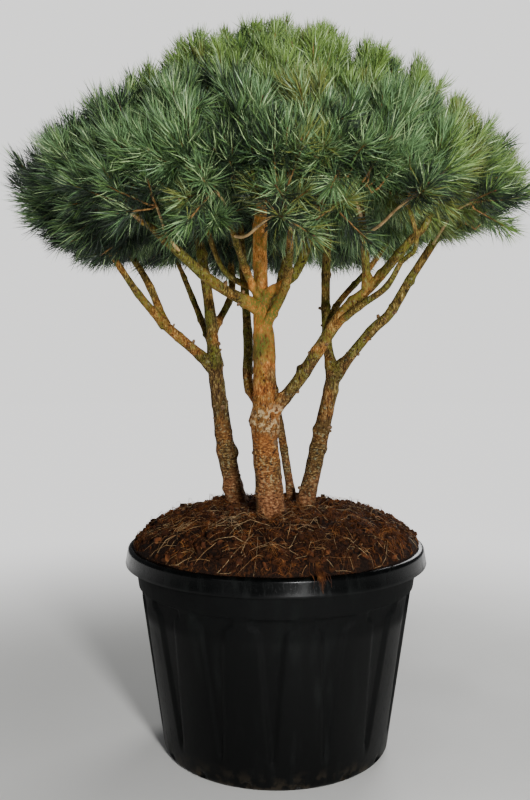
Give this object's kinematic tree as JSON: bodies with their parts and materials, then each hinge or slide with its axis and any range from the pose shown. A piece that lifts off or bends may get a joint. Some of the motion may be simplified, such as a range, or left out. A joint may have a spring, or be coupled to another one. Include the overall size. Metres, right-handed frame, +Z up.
{
  "type": "potted multi-stemmed watereri scots pine",
  "caption": "Mature multi-stemmed pine with bare orange-brown lower limbs and a broad low dome of blue-green needles, standing in a black fluted nursery pot heaped with soil.",
  "frame": {"origin": "centre of the pot's flat underside", "axes": "+Z up along the stems, -Y towards the front, +X to the right seen from the front"},
  "size_m": [1.2471, 1.222, 1.7865],
  "materials": {
    "pot_plastic": "black semi-gloss moulded plastic, scuffed",
    "potting_soil": "dark red-brown bark and coir with pale dry needles",
    "bark": "flaky orange-brown and olive-grey bark",
    "needles": "blue-green needles on orange-tan twigs"
  },
  "bodies": {
    "root": {"centreBack": "bark", "centreLeftFront": "bark", "centreLeftThin": "bark", "centreLeftUp": "bark", "centreRight": "bark", "centreRightDark": "bark", "centreRightLower": "bark", "centreRightOlive": "bark", "centreRightUp": "bark", "centreRightUpper": "bark", "foliageFront": "needles", "foliageFrontLeft": "needles", "foliageFrontRight": "needles", "foliageLeft": "needles", "foliageLeftFront": "needles", "foliageLeftLow": "needles", "foliageLeftRear": "needles", "foliageRearLeft": "needles", "foliageRearRight": "needles", "foliageRight": "needles", "foliageRightFront": "needles", "foliageRightRear": "needles", "foliageTop": "needles", "foliageUpperFront": "needles", "foliageUpperLeft": "needles", "foliageUpperLeftFront": "needles", "foliageUpperRear": "needles", "foliageUpperRight": "needles", "foliageUpperRightRear": "needles", "leftInner": "bark", "leftMain": "bark", "leftOuter": "bark", "leftOuterFront": "bark", "leftOuterRear": "bark", "leftThin": "bark", "pot": "pot_plastic", "rightInner": "bark", "rightOuter": "bark", "soil": "potting_soil", "stemBack": "bark", "stemLeft": "bark", "stemRight": "bark", "trunk": "bark"}
  },
  "joints": []
}
